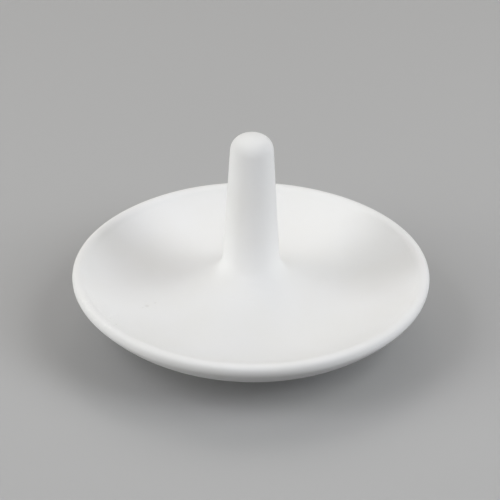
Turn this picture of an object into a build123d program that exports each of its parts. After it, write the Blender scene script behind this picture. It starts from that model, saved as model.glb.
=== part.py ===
"""Ring dish of unglazed white fired clay: a shallow round dish with a hollow post for finger rings.

Millimetres, +Z up. The origin is on the ground, under the middle of the dish.
Three pieces, each turned about Z: the dish, the ring post that stands in its socket, and the foot ring
under it. Every half section is drawn with X as the radius and Y as the height, from arcs and lines that
run into each other without a corner.
"""
from build123d import *
import math
import os

# Heights, stacked up from the ground
foot_height = 6.5
post_rise = 50.1

# Dish
dish_radius = 60.0
lip_width = 2.1
lip_height = 1.85
lip_inner_radius = 2.85
wall_radius = 2.4
wall_angle = 54.0
slope_width = 21.5
slope_angle = 37.0
hub_radius = 10.0
hub_angle = 43.8
underlip_radius = 3.45
underlip_angle = 39.3
belly_radius = 37.5
belly_angle = 62.0
heel_radius = 20.0
underside_rise = 1.5
vent_radius = 3.0

# Ring post
tip_radius = 7.1
tip_crown_radius = 10.4
tip_shoulder_radius = 5.1
taper_angle = 3.35
root_radius = 9.6
post_wall = 4.2
tip_wall = 5.0
flange_margin = 2.0
socket_depth = 2.5
joint_clearance = 0.1

# Foot ring
foot_inset = 8.0
foot_width = 5.5
foot_draft = 0.8
foot_edge_radius = 1.2


def at(radius, height):
    """Point of a half section."""
    return Vector(radius, height)


def ray(angle):
    """Unit vector at an angle in degrees from the outward direction."""
    return Vector(1, 0).rotate(Axis.Z, angle)


def arc_radius(run, rise):
    """Radius of the arc that starts level and reaches this far out and this far up."""
    return (run**2 + rise**2) / (2 * rise)


def turned(*outline):
    """Solid of revolution of a closed half section."""
    return revolve(Plane.XZ * make_face(Curve() + list(outline)), Axis.Z)


# The moat's outer half: a slope from the lowest ring, a steeper wall, and the inside of the lip
slope_radius = slope_width / ray(slope_angle).Y
slope_rise = slope_radius * (1 - ray(slope_angle).X)
wall_width = wall_radius * (ray(wall_angle).Y - ray(slope_angle).Y)
wall_rise = wall_radius * (ray(slope_angle).X - ray(wall_angle).X)
lip_inner_width = lip_inner_radius * ray(wall_angle).Y
lip_rise = lip_inner_radius * (1 - ray(wall_angle).X)

# The outside of the bowl: a tight arc under the lip, the belly, and the heel, which ends level
underlip_width = underlip_radius * (1 - ray(underlip_angle).X)
underlip_drop = underlip_radius * ray(underlip_angle).Y
belly_width = belly_radius * (ray(underlip_angle).X - ray(belly_angle).X)
belly_drop = belly_radius * (ray(belly_angle).Y - ray(underlip_angle).Y)
heel_width = heel_radius * ray(belly_angle).X
heel_drop = heel_radius * (1 - ray(belly_angle).Y)

# Heights and radii that follow
widest_height = foot_height + heel_drop + belly_drop + underlip_drop
crest_height = widest_height + lip_height
moat_floor = crest_height - lip_rise - wall_rise - slope_rise
tip_height = crest_height + post_rise
crest_radius = dish_radius - lip_width
moat_radius = crest_radius - lip_inner_width - wall_width - slope_width
underside_radius = dish_radius - underlip_width - belly_width - heel_width
foot_outer_radius = underside_radius - foot_inset
foot_inner_radius = foot_outer_radius - foot_width

# The moat's inner arc, which climbs from the lowest ring towards the post and has its full slope at hub_radius
hub_arc_radius = (moat_radius - hub_radius) / ray(hub_angle).Y
hub_arc_centre = at(moat_radius, moat_floor + hub_arc_radius)


def hub_slope(radius):
    """Slope of the moat's inner arc in degrees where it has this radius."""
    return math.degrees(math.asin((moat_radius - radius) / hub_arc_radius))


def hub_arc(inner, outer):
    """Stretch of the moat's inner arc between two radii."""
    return CenterArc(hub_arc_centre, hub_arc_radius, 270 - hub_slope(inner), hub_slope(inner) - hub_slope(outer))


# The post's side, and the root arc that touches both the side and the moat's inner arc
side_out = ray(taper_angle)
side_down = ray(taper_angle - 90)
crown_angle = math.degrees(
    math.asin((tip_radius - tip_shoulder_radius * side_out.X) / (tip_crown_radius - tip_shoulder_radius))
)
shoulder_centre = at(0, tip_height - tip_crown_radius) + ray(90 - crown_angle) * (
    tip_crown_radius - tip_shoulder_radius
)
side_top = shoulder_centre + side_out * tip_shoulder_radius
offset_from_hub = side_top + side_out * root_radius - hub_arc_centre
along_side = offset_from_hub.dot(side_down)
side_length = -along_side + math.sqrt(
    along_side**2 - offset_from_hub.dot(offset_from_hub) + (hub_arc_radius - root_radius) ** 2
)
root_centre = side_top + side_out * root_radius + side_down * side_length
root_slope = math.degrees(
    math.atan2(hub_arc_centre.X - root_centre.X, hub_arc_centre.Y - root_centre.Y)
)
root_end = root_centre + ray(270 - root_slope) * root_radius

# The joint between post and dish: a flange that sits in a round socket
flange_radius = root_end.X + flange_margin
socket_radius = flange_radius + joint_clearance
seat_height = (hub_arc_centre + ray(270 - hub_slope(flange_radius)) * hub_arc_radius).Y - socket_depth


def dish():
    """Bowl with a rounded lip, a socket for the post and a vent hole under it."""
    moat = hub_arc(socket_radius, moat_radius)
    slope = JernArc(moat @ 1, (1, 0), slope_radius, slope_angle)
    wall = JernArc(slope @ 1, slope % 1, wall_radius, wall_angle - slope_angle)
    lip_inside = JernArc(wall @ 1, wall % 1, lip_inner_radius, -wall_angle)
    lip_centre = at(crest_radius, widest_height)
    lip_outside = EllipticalCenterArc(lip_centre, lip_width, lip_height, start_angle=0, arc_size=90)

    underlip = JernArc(at(dish_radius, widest_height), (0, -1), underlip_radius, -underlip_angle)
    belly = JernArc(underlip @ 1, underlip % 1, belly_radius, underlip_angle - belly_angle)
    heel = JernArc(belly @ 1, belly % 1, heel_radius, belly_angle - 90)
    land = Line(heel @ 1, at(foot_inner_radius, foot_height))

    hollow_radius = arc_radius(foot_inner_radius, underside_rise)
    hollow_centre = at(0, foot_height + underside_rise - hollow_radius)
    hollow_edge = math.degrees(math.asin(foot_inner_radius / hollow_radius))
    vent_edge = math.degrees(math.asin(vent_radius / hollow_radius))
    hollow = CenterArc(hollow_centre, hollow_radius, 90 - hollow_edge, hollow_edge - vent_edge)
    vent_top = at(vent_radius, seat_height)
    socket_corner = at(socket_radius, seat_height)
    socket = Polyline(hollow @ 1, vent_top, socket_corner, moat @ 0)
    return turned(moat, slope, wall, lip_inside, lip_outside, underlip, belly, heel, land, hollow, socket)


def ring_post():
    """Tapered hollow post with a domed tip, flared at its root into a round flange."""
    crown = JernArc(at(0, tip_height), (1, 0), tip_crown_radius, -crown_angle)
    shoulder = JernArc(crown @ 1, crown % 1, tip_shoulder_radius, crown_angle + taper_angle - 90)
    side = Line(shoulder @ 1, shoulder @ 1 + side_down * side_length)
    root = JernArc(side @ 1, side % 1, root_radius, 90 - taper_angle - root_slope)
    flange = hub_arc(root_end.X, flange_radius)

    level_drop = side_top.Y - tip_height + tip_wall
    bore_radius = (side_top.X * side_out.X + level_drop * side_out.Y - post_wall) / (1 - side_out.Y)
    bore_centre = at(0, tip_height - tip_wall - bore_radius)
    bore_tip = CenterArc(bore_centre, bore_radius, taper_angle, 90 - taper_angle)
    bore_length = ((bore_tip @ 0).Y - seat_height) / -side_down.Y
    bore_mouth = bore_tip @ 0 + side_down * bore_length
    base = Polyline(flange @ 1, at(flange_radius, seat_height), bore_mouth, bore_tip @ 0)
    axis = Line(bore_tip @ 1, crown @ 0)
    return turned(crown, shoulder, side, root, flange, base, bore_tip, axis)


def foot_ring():
    """Ring that the dish stands on, narrower at the ground, with rounded edges there."""
    corners = [
        at(foot_inner_radius, foot_height),
        at(foot_outer_radius, foot_height),
        at(foot_outer_radius - foot_draft, 0),
        at(foot_inner_radius + foot_draft, 0),
    ]
    section = make_face(Polyline(*corners, close=True))
    section = fillet(section.vertices().group_by(Axis.Y)[0], foot_edge_radius)
    return revolve(Plane.XZ * section, Axis.Z)


os.makedirs("parts", exist_ok=True)
for piece in (dish, ring_post, foot_ring):
    export_step(piece(), f"parts/{piece.__name__}.step")
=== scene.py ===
"""Looks of the unglazed ring dish: a shallow white fired-clay dish with a domed post for finger rings.

Metres and degrees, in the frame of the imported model: +Z up, the origin on the ground under the middle of
the dish. The three pieces are turned about Z from half sections, given the small unevenness of
hand-finished clay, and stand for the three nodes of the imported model. A half section is an array of points,
each a radius and a height.
"""
import math

import bpy
import numpy as np
from mathutils import Matrix, Vector


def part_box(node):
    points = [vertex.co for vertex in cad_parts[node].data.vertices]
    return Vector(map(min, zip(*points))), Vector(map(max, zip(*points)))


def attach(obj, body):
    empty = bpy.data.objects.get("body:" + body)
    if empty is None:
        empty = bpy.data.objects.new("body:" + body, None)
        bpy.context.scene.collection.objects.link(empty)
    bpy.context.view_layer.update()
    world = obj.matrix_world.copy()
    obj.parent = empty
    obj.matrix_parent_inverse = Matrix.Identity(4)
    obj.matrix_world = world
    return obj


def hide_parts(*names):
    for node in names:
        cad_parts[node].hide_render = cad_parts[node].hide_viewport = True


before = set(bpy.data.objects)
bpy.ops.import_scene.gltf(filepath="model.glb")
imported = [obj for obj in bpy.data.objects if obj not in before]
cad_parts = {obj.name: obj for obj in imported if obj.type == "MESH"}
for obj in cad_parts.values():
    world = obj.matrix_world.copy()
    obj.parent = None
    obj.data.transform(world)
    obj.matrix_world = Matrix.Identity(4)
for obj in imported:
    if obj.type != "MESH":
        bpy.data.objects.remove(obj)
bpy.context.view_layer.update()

MM = 0.001

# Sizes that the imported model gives
dish_low, dish_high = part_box("dish")
post_low, post_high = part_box("ring_post")
ring_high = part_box("foot_ring")[1]
dish_radius = dish_high.x
crest_height = dish_high.z
foot_height = dish_low.z
tip_height = post_high.z
flange_radius = post_high.x
seat_height = post_low.z
foot_outer_radius = ring_high.x

# Dish
lip_width = 2.1 * MM
lip_height = 1.85 * MM
lip_inner_radius = 2.85 * MM
wall_radius = 2.4 * MM
wall_angle = 54.0
slope_width = 21.5 * MM
slope_angle = 37.0
hub_radius = 10.0 * MM
hub_angle = 43.8
underlip_radius = 3.45 * MM
underlip_angle = 39.3
belly_radius = 37.5 * MM
belly_angle = 62.0
heel_radius = 20.0 * MM
underside_rise = 1.5 * MM
vent_radius = 3.0 * MM
vent_edge_radius = 0.6 * MM

# Ring post
tip_radius = 7.1 * MM
tip_crown_radius = 10.4 * MM
tip_shoulder_radius = 5.1 * MM
taper_angle = 3.35
root_radius = 9.6 * MM
post_wall = 4.2 * MM
tip_wall = 5.0 * MM

# Foot ring, and the fillet of slip above it, which reaches a little way into the dish
foot_width = 5.5 * MM
foot_draft = 0.8 * MM
foot_edge_radius = 1.2 * MM
slip_radius = 1.6 * MM
slip_overlap = 0.05 * MM

# How full the outside of the lip is: 2 for an ellipse, more for a squarer edge
LIP_FULLNESS = 2.4
LIP_STEPS = 400

# How finely the clay is drawn: points on a half section, and the bend that needs a point of its own
SPOKES = 288
FINE_PITCH = 0.1 * MM
COARSE_PITCH = 1.5 * MM
BEND_PER_STEP = 6.0
SHARP_CORNER = 35.0

# How far the wet sponge runs each curve into the next: far on the body, less at the lip and the tip
CRISP_REACH = 0.4 * MM
SOFT_REACH = 1.5 * MM
REACHES_WEIGHED = 3
crisp_from = dish_radius - 9.0 * MM
crisp_to = dish_radius - 4.0 * MM
tip_from = tip_height - 16.0 * MM
tip_to = tip_height - 10.0 * MM

# How the hand-finished rim wanders in from the CAD's circle: waves round the rim, direction of one, depth
RIM_WAVES = (
    (2, 75, 0.05 * MM),
    (3, -57, 0.09 * MM),
    (4, 6, 0.13 * MM),
    (5, 27, 0.06 * MM),
)
RIM_INSET = 0.22 * MM
RIM_SLACK = 0.02 * MM
POST_SHIFT = -0.19 * MM

# Burst bubbles in the moat: angle round the dish, distance from the middle, width, strength; the strength
# sets both the dent and the painted shade that darkens the bubble's hollow
PITS = (
    (197.2, 36.3 * MM, 2.0 * MM, 0.2),
    (195.1, 33.2 * MM, 1.2 * MM, 0.15),
    (198.5, 38.0 * MM, 0.8 * MM, 0.2),
    (216.8, 54.3 * MM, 1.1 * MM, 0.4),
    (211.4, 53.5 * MM, 0.9 * MM, 0.25),
)
# Colour of the painted shade in the bubbles' hollows
PAINTED_PIT_SHADE = (0.52, 0.50, 0.46, 1)

# Rubbed patch of the lip: angle round the dish, distance from the middle, inner reach, outer reach
RUBBED_LIP = (209.0, 58.0 * MM, 6.0 * MM, 18.0 * MM)
FLECK_TONE = (0.95, 0.95, 0.94, 1)
FLECK_WIDTH = 0.9 * MM
FLECK_FADE = (0.55, 0.70)

# Clay: the values of the noises between which each effect fades in, and what it gives
CLOUD_FADE = (0.35, 0.65)
GRAIN_FADE = (0.3, 0.7)
GRAIN_ROUGHNESS = (0.86, 0.98)
CLAY_GLOSS = 0.25
PINHOLE_SPACING = 6.0 * MM
PINHOLE_FADE = (0.04, 0.10)
# Colour of the painted shade in the pinholes, and how far it darkens them
PAINTED_PINHOLE_SHADE = (0.55, 0.53, 0.50, 1)
PINHOLE_STRENGTH = 0.35

# The paper looks pale, but throws back on the dish only as much light as the darker ground of the photograph
PAPER_SEEN = (0.50, 0.50, 0.50, 1)
PAPER_BOUNCE = (0.19, 0.19, 0.19, 1)
PAPER_ROUGHNESS = 0.9
PAPER_GLOSS = 0.2
PAPER_REACH = 0.75
BACKDROP_TONE = (0.45, 0.45, 0.45, 1)

# Camera, with its lens and sensor in millimetres, and how far its aim lies beside the axis and above the rim
CAMERA_DISTANCE = 0.6969
CAMERA_PITCH = 30.99
CAMERA_ROLL = 0.527
CAMERA_LENS = 150.4
CAMERA_SENSOR = 36
CAMERA_CLIP = 0.01
AIM_SIDE = -0.53 * MM
AIM_ABOVE_RIM = 8.75 * MM
LIGHT_DISTANCE = 1.0

# Places of the colour sockets among those of a Mix node
MIX_FIRST, MIX_SECOND, MIX_RESULT = 6, 7, 2


def ray(angle):
    """Unit vector of a half section at an angle from the outward direction."""
    return np.array((math.cos(math.radians(angle)), math.sin(math.radians(angle))))


# The moat's outer half: a slope from the lowest ring, a steeper wall, and the inside of the lip
slope_radius = slope_width / ray(slope_angle)[1]
slope_rise = slope_radius * (1 - ray(slope_angle)[0])
wall_width = wall_radius * (ray(wall_angle)[1] - ray(slope_angle)[1])
wall_rise = wall_radius * (ray(slope_angle)[0] - ray(wall_angle)[0])
lip_inner_width = lip_inner_radius * ray(wall_angle)[1]
lip_rise = lip_inner_radius * (1 - ray(wall_angle)[0])

# Heights and radii that follow
moat_floor = crest_height - slope_rise - wall_rise - lip_rise
widest_height = crest_height - lip_height
crest_radius = dish_radius - lip_width
moat_radius = crest_radius - lip_inner_width - wall_width - slope_width
foot_inner_radius = foot_outer_radius - foot_width


def arc(centre, radius, start, turn):
    """Closely set points along an arc."""
    steps = max(6, round(math.radians(abs(turn)) * radius / FINE_PITCH))
    angles = np.radians(np.linspace(start, start + turn, steps + 1))
    return np.array(centre) + radius * np.column_stack((np.cos(angles), np.sin(angles)))


def straight(start, end):
    """Closely set points along a straight run."""
    start, end = np.array(start), np.array(end)
    steps = max(2, round(np.linalg.norm(end - start) / FINE_PITCH))
    return start + (end - start) * np.linspace(0, 1, steps + 1)[:, None]


def joined(*runs):
    """One outline from runs of points, without the points that two runs share."""
    points = np.vstack(runs)
    gaps = np.linalg.norm(np.diff(points, axis=0), axis=1)
    return points[np.concatenate(([True], gaps > FINE_PITCH / 1000))]


def picked(outline, along, steps):
    """Points at even steps of a measure that grows along the outline."""
    marks = np.linspace(0, along[-1], steps + 1)
    return np.column_stack([np.interp(marks, along, outline[:, k]) for k in range(2)])


def run_together(outline, softness):
    """The outline as a wet sponge leaves it, with each curve run into the next over about this length."""
    reach = math.ceil(REACHES_WEIGHED * softness / FINE_PITCH)
    weights = np.exp(-0.5 * (np.arange(-reach, reach + 1) * FINE_PITCH / softness) ** 2)
    weights /= weights.sum()
    padded = np.pad(outline, ((reach, reach), (0, 0)), mode="reflect", reflect_type="odd")
    return np.column_stack([np.convolve(padded[:, k], weights, mode="valid") for k in range(2)])


def thinned(outline):
    """The outline with few points where it runs straight and more where it bends."""
    steps = np.diff(outline, axis=0)
    headings = np.unwrap(np.arctan2(steps[:, 1], steps[:, 0]))
    bends = np.abs(np.diff(headings, prepend=headings[0]))
    needs = np.linalg.norm(steps, axis=1) / COARSE_PITCH + np.degrees(bends) / BEND_PER_STEP
    along = np.concatenate(([0], np.cumsum(needs)))
    return picked(outline, along, math.ceil(along[-1]))


def post_side():
    """Crown and shoulder of the tip, the tapered side and the root, and the moat's inner arc below them."""
    hub_arc_radius = (moat_radius - hub_radius) / ray(hub_angle)[1]
    hub_centre = np.array((moat_radius, moat_floor + hub_arc_radius))
    side_out = ray(taper_angle)
    side_down = ray(taper_angle - 90)
    shoulder_run = tip_crown_radius - tip_shoulder_radius
    crown_angle = math.degrees(math.asin((tip_radius - tip_shoulder_radius * side_out[0]) / shoulder_run))
    crown_centre = np.array((0, tip_height - tip_crown_radius))
    shoulder_centre = crown_centre + ray(90 - crown_angle) * shoulder_run
    side_top = shoulder_centre + side_out * tip_shoulder_radius
    offset = side_top + side_out * root_radius - hub_centre
    along = offset @ side_down
    side_length = -along + math.sqrt(along**2 - offset @ offset + (hub_arc_radius - root_radius) ** 2)
    side_end = side_top + side_down * side_length
    root_centre = side_end + side_out * root_radius
    root_slope = math.degrees(math.atan2(*(hub_centre - root_centre)))
    mirrored_crown = arc(crown_centre, tip_crown_radius, 90 + crown_angle, -crown_angle)
    crown = arc(crown_centre, tip_crown_radius, 90, -crown_angle)
    shoulder = arc(shoulder_centre, tip_shoulder_radius, 90 - crown_angle, crown_angle + taper_angle - 90)
    side = straight(side_top, side_end)
    root = arc(root_centre, root_radius, 180 + taper_angle, 90 - taper_angle - root_slope)
    hub = arc(hub_centre, hub_arc_radius, 270 - root_slope, root_slope)
    return joined(mirrored_crown, crown, shoulder, side, root, hub)


def lip_edge():
    """Outside of the lip from its crest to its widest ring, a little fuller than an ellipse."""
    turn = np.radians(np.linspace(90, 0, LIP_STEPS))
    outward = crest_radius + lip_width * np.cos(turn) ** (2 / LIP_FULLNESS)
    upward = widest_height + lip_height * np.sin(turn) ** (2 / LIP_FULLNESS)
    edge = np.column_stack((outward, upward))
    along = np.concatenate(([0], np.cumsum(np.linalg.norm(np.diff(edge, axis=0), axis=1))))
    return picked(edge, along, round(along[-1] / FINE_PITCH))


def dish_side():
    """Moat from its lowest ring up the wall, round the lip, and down the belly to the foot."""
    slope_centre = np.array((moat_radius, moat_floor + slope_radius))
    wall_centre = slope_centre + ray(270 + slope_angle) * (slope_radius - wall_radius)
    slope = arc(slope_centre, slope_radius, 270, slope_angle)
    wall = arc(wall_centre, wall_radius, 270 + slope_angle, wall_angle - slope_angle)
    lip_inside_centre = (crest_radius, crest_height - lip_inner_radius)
    lip_inside = arc(lip_inside_centre, lip_inner_radius, 90 + wall_angle, -wall_angle)
    underlip_centre = np.array((dish_radius - underlip_radius, widest_height))
    belly_centre = underlip_centre + ray(-underlip_angle) * (underlip_radius - belly_radius)
    heel_centre = belly_centre + ray(-belly_angle) * (belly_radius - heel_radius)
    underlip = arc(underlip_centre, underlip_radius, 0, -underlip_angle)
    belly = arc(belly_centre, belly_radius, -underlip_angle, underlip_angle - belly_angle)
    heel = arc(heel_centre, heel_radius, -belly_angle, belly_angle - 90)
    land = straight((heel_centre[0], foot_height), (foot_inner_radius, foot_height))
    return joined(slope, wall, lip_inside, lip_edge(), underlip, belly, heel, land)


def smooth_step(value, low, high):
    """0 below low, 1 above high, and a smooth run between them."""
    share = np.clip((value - low) / (high - low), 0, 1)
    return share**2 * (3 - 2 * share)


def outer_skin():
    """The whole outside of the clay from the tip to the foot, its curves run together."""
    sharp = joined(post_side(), dish_side())
    body = run_together(sharp, SOFT_REACH)
    crisp = run_together(sharp, CRISP_REACH)
    at_lip = smooth_step(sharp[:, 0], crisp_from, crisp_to)
    at_tip = smooth_step(sharp[:, 1], tip_from, tip_to)
    soft = body + (crisp - body) * np.maximum(at_lip, at_tip)[:, None]
    first_beside_axis = np.argmax(soft[:, 0] > FINE_PITCH)
    over_axis = soft[:first_beside_axis + 1]
    tip = np.array((0, np.interp(0, over_axis[:, 0], over_axis[:, 1])))
    return np.vstack((tip, soft[first_beside_axis:]))


def height_at(radius, skin):
    """Height of the clay's upper face at a radius."""
    upper = skin[:np.argmax(skin[:, 0])]
    return np.interp(radius, upper[:, 0], upper[:, 1])


def out_of_true(points):
    """Moves points as hand-finished clay wanders: the rim in and out, and the post a little to the left."""
    radius = np.hypot(points[:, 0], points[:, 1])
    angle = np.degrees(np.arctan2(points[:, 1], points[:, 0]))
    inset = np.full(len(points), RIM_INSET)
    for waves, direction, depth in RIM_WAVES:
        inset -= depth * np.cos(np.radians(waves * (angle - direction)))
    share = np.clip((radius - flange_radius) / (dish_radius - flange_radius), 0, 1) ** 2
    scale = 1 - share * np.maximum(inset, RIM_SLACK) / dish_radius
    shift = POST_SHIFT * smooth_step(points[:, 2], crest_height - lip_height, crest_height + root_radius)
    shift *= radius < flange_radius
    return np.column_stack((points[:, 0] * scale + shift, points[:, 1] * scale, points[:, 2]))


def turned(name, outline, closed):
    """Mesh object turned about Z from a half section; an open section starts and ends on the axis."""
    rings = outline if closed else outline[1:-1]
    angles = np.arange(SPOKES) * 2 * math.pi / SPOKES
    around = np.stack((np.cos(angles), np.sin(angles)), axis=1)
    flat = rings[:, None, :1] * around[None]
    heights = np.broadcast_to(rings[:, None, 1:], flat.shape[:2] + (1,))
    points = np.concatenate((flat, heights), axis=2).reshape(-1, 3)
    first = np.arange(len(rings) if closed else len(rings) - 1)[:, None] * SPOKES + np.arange(SPOKES)
    beside = first - first % SPOKES + (first + 1) % SPOKES
    after = len(points)
    quads = np.stack((first, (first + SPOKES) % after, (beside + SPOKES) % after, beside), axis=-1)
    faces = quads.reshape(-1, 4).tolist()
    if not closed:
        points = np.vstack((points, (0, 0, outline[0, 1]), (0, 0, outline[-1, 1])))
        last = after - SPOKES
        for spoke in range(SPOKES):
            following = (spoke + 1) % SPOKES
            faces.append((after, spoke, following))
            faces.append((after + 1, last + following, last + spoke))
    mesh = bpy.data.meshes.new(name)
    mesh.from_pydata(out_of_true(points).tolist(), [], faces)
    mesh.update()
    for polygon in mesh.polygons:
        polygon.use_smooth = True
    mesh.set_sharp_from_angle(angle=math.radians(SHARP_CORNER))
    piece = bpy.data.objects.new(name, mesh)
    bpy.context.scene.collection.objects.link(piece)
    return piece


def make_dish(skin):
    """Bowl with its socket for the post, a hollow underside and a vent hole."""
    top = skin[np.argmax(skin[:, 0] > flange_radius):]
    edge = (flange_radius, height_at(flange_radius, skin))
    hollow_radius = (foot_inner_radius**2 + underside_rise**2) / (2 * underside_rise)
    hollow_centre = (0, foot_height + underside_rise - hollow_radius)
    hollow_edge = math.degrees(math.asin(foot_inner_radius / hollow_radius))
    vent_edge = math.degrees(math.asin((vent_radius + vent_edge_radius) / hollow_radius))
    hollow = thinned(arc(hollow_centre, hollow_radius, 90 - hollow_edge, hollow_edge - vent_edge))
    lip_of_vent = arc(hollow[-1] + (0, vent_edge_radius), vent_edge_radius, 270, -90)
    vent_top = (vent_radius, seat_height)
    socket = (flange_radius, seat_height)
    outline = joined(thinned(np.vstack((edge, top))), hollow, thinned(lip_of_vent), vent_top, socket)
    return turned("ring_dish_bowl", outline, closed=True)


def make_post(skin):
    """Hollow tapered post with its flared root."""
    inside = skin[:np.argmax(skin[:, 0] > flange_radius)]
    edge = (flange_radius, height_at(flange_radius, skin))
    side_out = ray(taper_angle)
    side_down = ray(taper_angle - 90)
    bore_radius = (tip_radius - post_wall / side_out[0]) / (1 - side_out[1])
    bore_centre = (0, tip_height - tip_wall - bore_radius)
    bore_tip = arc(bore_centre, bore_radius, taper_angle, 90 - taper_angle)
    bore_mouth = bore_tip[0] + side_down * (bore_tip[0, 1] - seat_height) / -side_down[1]
    outside = thinned(np.vstack((inside, edge)))
    outline = joined(outside, (flange_radius, seat_height), bore_mouth, thinned(bore_tip))
    return turned("ring_dish_post", outline, closed=False)


def make_foot():
    """Ring that the dish stands on, with a fillet of slip where it meets the underside."""
    outer_foot = foot_outer_radius - foot_draft
    inner_foot = foot_inner_radius + foot_draft
    top = foot_height + slip_overlap
    slip_centre = (foot_outer_radius + slip_radius, foot_height - slip_radius)
    outline = joined(
        (foot_inner_radius, top),
        (foot_outer_radius + slip_radius, top),
        thinned(arc(slip_centre, slip_radius, 90, 90)),
        thinned(arc((outer_foot - foot_edge_radius, foot_edge_radius), foot_edge_radius, 0, -90)),
        thinned(arc((inner_foot + foot_edge_radius, foot_edge_radius), foot_edge_radius, 270, -90)),
    )
    return turned("ring_dish_foot", outline, closed=True)


def fill(tree, socket, source):
    """Feeds a socket from another socket, or gives it a value."""
    if isinstance(source, bpy.types.NodeSocket):
        tree.links.new(source, socket)
    else:
        socket.default_value = source


def worked_out(tree, operation, first, second):
    """Result of a sum of two sockets or numbers."""
    node = tree.nodes.new("ShaderNodeMath")
    node.operation = operation
    fill(tree, node.inputs[0], first)
    fill(tree, node.inputs[1], second)
    return node.outputs[0]


def spread(tree, value, low, high, to_low=0.0, to_high=1.0, course="LINEAR"):
    """A value mapped from one range to another, and held at the ends."""
    node = tree.nodes.new("ShaderNodeMapRange")
    node.interpolation_type = course
    for name, number in (("From Min", low), ("From Max", high), ("To Min", to_low), ("To Max", to_high)):
        node.inputs[name].default_value = number
    fill(tree, node.inputs["Value"], value)
    return node.outputs["Result"]


def mixed(tree, share, first, second):
    """Colour that runs from the first to the second with its share."""
    node = tree.nodes.new("ShaderNodeMix")
    node.data_type = "RGBA"
    fill(tree, node.inputs["Factor"], share)
    fill(tree, node.inputs[MIX_FIRST], first)
    fill(tree, node.inputs[MIX_SECOND], second)
    return node.outputs[MIX_RESULT]


def noise(tree, place, width, detail, roughness):
    """Soft noise whose blotches are about this wide."""
    node = tree.nodes.new("ShaderNodeTexNoise")
    node.inputs["Detail"].default_value = detail
    node.inputs["Roughness"].default_value = roughness
    fill(tree, node.inputs["Vector"], place)
    fill(tree, node.inputs["Scale"], worked_out(tree, "DIVIDE", 1, width))
    return node.outputs["Fac"]


def new_group(name, inputs, outputs):
    """Empty node group with named sockets, what it is given, what it has to put out, and the place."""
    tree = bpy.data.node_groups.new(name, "ShaderNodeTree")
    for direction, sockets in (("INPUT", inputs), ("OUTPUT", outputs)):
        for socket, kind in sockets.items():
            tree.interface.new_socket(socket, in_out=direction, socket_type=kind)
    given = tree.nodes.new("NodeGroupInput").outputs
    result = tree.nodes.new("NodeGroupOutput").inputs
    return tree, given, result, tree.nodes.new("ShaderNodeTexCoord").outputs["Object"]


def fired_clay_group():
    """Unevenness of unglazed fired clay: pale clouds of colour, a fine open grain, and a few pinholes that
    are dented and darkened with painted shade.
    """
    tree, given, result, place = new_group(
        "fired_clay",
        inputs={
            "Pale": "NodeSocketColor",
            "Deep": "NodeSocketColor",
            "Cloud Width": "NodeSocketFloat",
            "Grain Width": "NodeSocketFloat",
            "Pinhole Spacing": "NodeSocketFloat",
            "Pinhole Share": "NodeSocketFloat",
        },
        outputs={"Color": "NodeSocketColor", "Roughness": "NodeSocketFloat", "Height": "NodeSocketFloat"},
    )
    clouds = noise(tree, place, given["Cloud Width"], detail=3, roughness=0.5)
    grain = noise(tree, place, given["Grain Width"], detail=2, roughness=0.6)
    tone = mixed(tree, spread(tree, clouds, *CLOUD_FADE), given["Pale"], given["Deep"])

    cells = tree.nodes.new("ShaderNodeTexVoronoi")
    fill(tree, cells.inputs["Vector"], place)
    fill(tree, cells.inputs["Scale"], worked_out(tree, "DIVIDE", 1, given["Pinhole Spacing"]))
    lot = tree.nodes.new("ShaderNodeSeparateColor")
    fill(tree, lot.inputs["Color"], cells.outputs["Color"])
    chosen = worked_out(tree, "LESS_THAN", lot.outputs["Red"], given["Pinhole Share"])
    dots = spread(tree, cells.outputs["Distance"], *PINHOLE_FADE, to_low=1, to_high=0)
    holes = worked_out(tree, "MULTIPLY", dots, chosen)

    # Painted shade: the pinholes' colour darkens as the shade falling in a hole would
    pinhole_shade = spread(tree, holes, 0, 1, to_low=0, to_high=PINHOLE_STRENGTH)
    fill(tree, result["Color"], mixed(tree, pinhole_shade, tone, PAINTED_PINHOLE_SHADE))
    fill(tree, result["Roughness"], spread(tree, grain, *GRAIN_FADE, *GRAIN_ROUGHNESS))
    fill(tree, result["Height"], worked_out(tree, "SUBTRACT", grain, holes))


def marks_group(skin):
    """The few marks that this dish has: burst bubbles in the moat, whose mask both dents the clay and lays
    painted shade in it, and flecks where the lip was rubbed.
    """
    tree, given, result, place = new_group(
        "marks",
        inputs={"Fleck Width": "NodeSocketFloat"},
        outputs={"Pits": "NodeSocketFloat", "Flecks": "NodeSocketFloat"},
    )

    def near(angle, radius, inner, outer):
        """1 within the inner reach of a place on the dish, fading to 0 at the outer reach."""
        away = tree.nodes.new("ShaderNodeVectorMath")
        away.operation = "DISTANCE"
        away.inputs[1].default_value = (*(radius * ray(angle)), height_at(radius, skin))
        fill(tree, away.inputs[0], place)
        return spread(tree, away.outputs["Value"], inner, outer, to_low=1, to_high=0, course="SMOOTHSTEP")

    pits = 0
    for angle, radius, width, strength in PITS:
        pit = near(angle, radius, inner=width / 6, outer=width / 2)
        pits = worked_out(tree, "ADD", pits, worked_out(tree, "MULTIPLY", pit, strength))
    speckle = noise(tree, place, given["Fleck Width"], detail=1, roughness=0.5)
    flecks = worked_out(tree, "MULTIPLY", spread(tree, speckle, *FLECK_FADE), near(*RUBBED_LIP))
    fill(tree, result["Pits"], pits)
    fill(tree, result["Flecks"], flecks)


def placed(tree, group, **given):
    """Outputs of a node group that is placed in a material with its own values."""
    node = tree.nodes.new("ShaderNodeGroup")
    node.node_tree = bpy.data.node_groups[group]
    for name, value in given.items():
        node.inputs[name.replace("_", " ").title()].default_value = value
    return node.outputs


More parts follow.
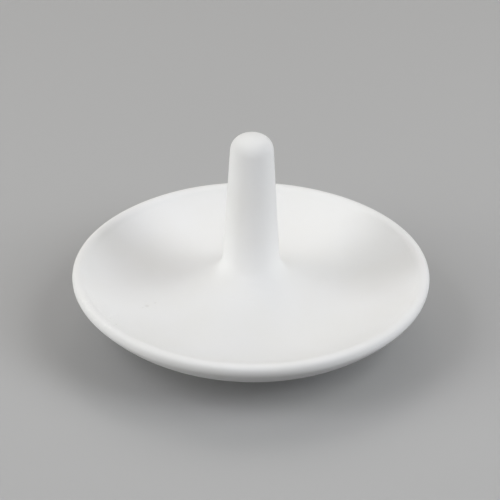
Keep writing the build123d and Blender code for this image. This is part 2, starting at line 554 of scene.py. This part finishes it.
def clay_material(name, pale, deep, cloud_width, grain_width, grain_depth, pinhole_share):
    """Unglazed clay with its own tone, grain and number of pinholes."""
    material = bpy.data.materials.new(name)
    material.use_nodes = True
    tree = material.node_tree
    shader = tree.nodes["Principled BSDF"].inputs
    shader["Specular IOR Level"].default_value = CLAY_GLOSS
    clay = placed(
        tree,
        "fired_clay",
        pale=pale,
        deep=deep,
        cloud_width=cloud_width,
        grain_width=grain_width,
        pinhole_spacing=PINHOLE_SPACING,
        pinhole_share=pinhole_share,
    )
    marks = placed(tree, "marks", fleck_width=FLECK_WIDTH)
    flecked = mixed(tree, marks["Flecks"], clay["Color"], FLECK_TONE)
    bump = tree.nodes.new("ShaderNodeBump")
    bump.inputs["Strength"].default_value = 1
    bump.inputs["Distance"].default_value = grain_depth
    fill(tree, bump.inputs["Height"], worked_out(tree, "SUBTRACT", clay["Height"], marks["Pits"]))
    # Painted shade: the colour darkens in the burst bubbles, as the shade falling in their hollows
    fill(tree, shader["Base Color"], mixed(tree, marks["Pits"], flecked, PAINTED_PIT_SHADE))
    fill(tree, shader["Roughness"], clay["Roughness"])
    fill(tree, shader["Normal"], bump.outputs["Normal"])
    return material


def make_floor():
    """Plain pale sheet of paper that the dish stands on."""
    mesh = bpy.data.meshes.new("floor")
    corners = [(PAPER_REACH * x, PAPER_REACH * y, 0) for x, y in ((-1, -1), (1, -1), (1, 1), (-1, 1))]
    mesh.from_pydata(corners, [], [(0, 1, 2, 3)])
    paper = bpy.data.materials.new("paper")
    paper.use_nodes = True
    tree = paper.node_tree
    shader = tree.nodes["Principled BSDF"].inputs
    shader["Roughness"].default_value = PAPER_ROUGHNESS
    shader["Specular IOR Level"].default_value = PAPER_GLOSS
    seen = tree.nodes.new("ShaderNodeLightPath").outputs["Is Camera Ray"]
    fill(tree, shader["Base Color"], mixed(tree, seen, PAPER_BOUNCE, PAPER_SEEN))
    mesh.materials.append(paper)
    floor = bpy.data.objects.new("floor", mesh)
    bpy.context.scene.collection.objects.link(floor)


def make_backdrop():
    """Pale backdrop that is seen past the paper's edge, but throws no light on the dish."""
    world = bpy.data.worlds.new("studio")
    world.use_nodes = True
    tree = world.node_tree
    background = tree.nodes["Background"].inputs
    background["Color"].default_value = BACKDROP_TONE
    fill(tree, background["Strength"], tree.nodes.new("ShaderNodeLightPath").outputs["Is Camera Ray"])
    bpy.context.scene.world = world


def make_camera():
    """Camera at the photograph's angle: from the front, looking down at the dish."""
    data = bpy.data.cameras.new("camera")
    data.sensor_width = CAMERA_SENSOR
    data.lens = CAMERA_LENS
    data.clip_start = CAMERA_CLIP
    pitch = math.radians(CAMERA_PITCH)
    aim = Vector((AIM_SIDE, 0, widest_height + AIM_ABOVE_RIM))
    forward = Vector((0, math.cos(pitch), -math.sin(pitch)))
    camera = bpy.data.objects.new("camera", data)
    roll = Matrix.Rotation(math.radians(CAMERA_ROLL), 4, "Z")
    camera.matrix_world = Matrix.Translation(aim - forward * CAMERA_DISTANCE) @ (
        forward.to_track_quat("-Z", "Y").to_matrix().to_4x4() @ roll
    )
    bpy.context.scene.collection.objects.link(camera)
    bpy.context.scene.camera = camera


def softbox(name, azimuth, elevation, width, height, power, tint):
    """Soft light a metre from the dish and aimed at it: sizes in metres, power in watts."""
    light = bpy.data.lights.new(name, "AREA")
    light.shape = "RECTANGLE"
    light.size = width
    light.size_y = height
    light.energy = power
    light.color = tint
    level = math.radians(elevation)
    turn = math.radians(azimuth)
    away = Vector((math.cos(turn) * math.cos(level), math.sin(turn) * math.cos(level), math.sin(level)))
    lamp = bpy.data.objects.new(name, light)
    lamp.location = away * LIGHT_DISTANCE
    lamp.rotation_euler = away.to_track_quat("Z", "Y").to_euler()
    bpy.context.scene.collection.objects.link(lamp)


skin = outer_skin()
dish = make_dish(skin)
post = make_post(skin)
foot = make_foot()

fired_clay_group()
marks_group(skin)
bisque = clay_material(
    "white_bisque",
    pale=(0.910, 0.910, 0.908, 1),
    deep=(0.900, 0.897, 0.885, 1),
    cloud_width=22 * MM,
    grain_width=0.45 * MM,
    grain_depth=0.02 * MM,
    pinhole_share=0.0,
)
ground_bisque = clay_material(
    "ground_bisque",
    pale=(0.82, 0.81, 0.79, 1),
    deep=(0.76, 0.75, 0.72, 1),
    cloud_width=6 * MM,
    grain_width=0.6 * MM,
    grain_depth=0.05 * MM,
    pinhole_share=0.3,
)
for piece, node in ((dish, "dish"), (post, "ring_post"), (foot, "foot_ring")):
    piece.data.materials.append(bisque)
    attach(piece, "root")
    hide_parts(node)

# The foot's ground face is worn rough
foot.data.materials.append(ground_bisque)
for polygon in foot.data.polygons:
    if polygon.center.z < foot_edge_radius / 10:
        polygon.material_index = 1

make_floor()
make_backdrop()
make_camera()
softbox("left_low", 200, 10, 0.7, 0.7, 5.6, (0.99, 1.00, 0.97))
softbox("left_high", 185, 42, 0.7, 0.7, 1.4, (0.94, 1.00, 0.93))
softbox("left_front", 204, 45, 0.5, 0.5, 1.55, (0.96, 0.91, 1.00))
softbox("right_low", 334, 18, 0.3, 0.8, 2.5, (0.88, 0.91, 1.00))
softbox("right_high", 340, 42, 0.7, 0.7, 4.35, (0.98, 1.00, 0.99))
softbox("back_left", 120, 50, 0.9, 0.7, 2.1, (1.00, 0.97, 0.93))
softbox("back_right", 60, 50, 0.9, 0.7, 2.15, (1.00, 0.97, 0.95))
softbox("front_low", 270, 5, 0.7, 0.3, 1.1, (1.00, 0.98, 0.99))
bpy.context.scene.view_settings.view_transform = "Standard"
